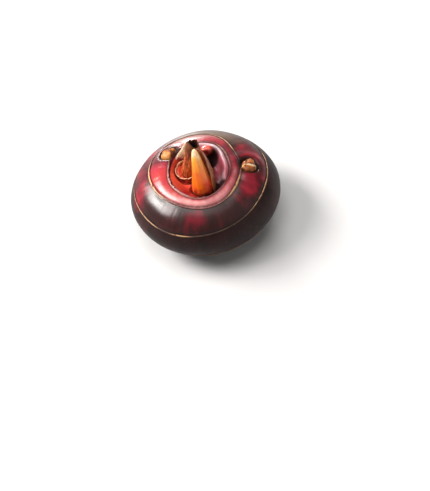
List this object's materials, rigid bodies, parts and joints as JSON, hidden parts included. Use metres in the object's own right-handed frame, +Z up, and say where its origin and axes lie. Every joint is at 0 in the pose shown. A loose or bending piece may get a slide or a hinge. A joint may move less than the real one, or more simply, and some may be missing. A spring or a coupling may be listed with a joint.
{
  "type": "water chestnut",
  "caption": "Squat glossy crimson corm ringed by papery leaf scars, with a pointed amber shoot and a broken brown sheath standing in its dished crown.",
  "frame": {"origin": "middle of the flat spot that the corm stands on, under the middle of its outline", "axes": "+Z up from the flat spot to the crown, +X across the corm with the broken shoot at -X and the larger side bud at +X, -Y towards the side with the pointed shoot"},
  "size_m": [0.041, 0.0392, 0.0295],
  "materials": {
    "skin": "smooth wet-looking crimson to near-black skin",
    "amber_shoot": "glossy amber shoot with a cream tip",
    "brown_sheath": "dry brown fibrous sheath",
    "cream_scale": "torn cream scale",
    "red_bud": "glossy deep red bud",
    "tan_bud": "folded tan and brown bud scales",
    "withered_scar": "rough crumbly brown scar"
  },
  "bodies": {
    "root": {"corm": "skin", "front_shoot": "amber_shoot", "rear_sheath": "brown_sheath", "sheath_cup": "brown_sheath", "shoot_scale": "brown_sheath", "torn_scale": "cream_scale", "red_bud": "red_bud", "side_bud_left": "tan_bud", "side_bud_right": "tan_bud", "stolon_scar": "withered_scar"}
  },
  "joints": []
}
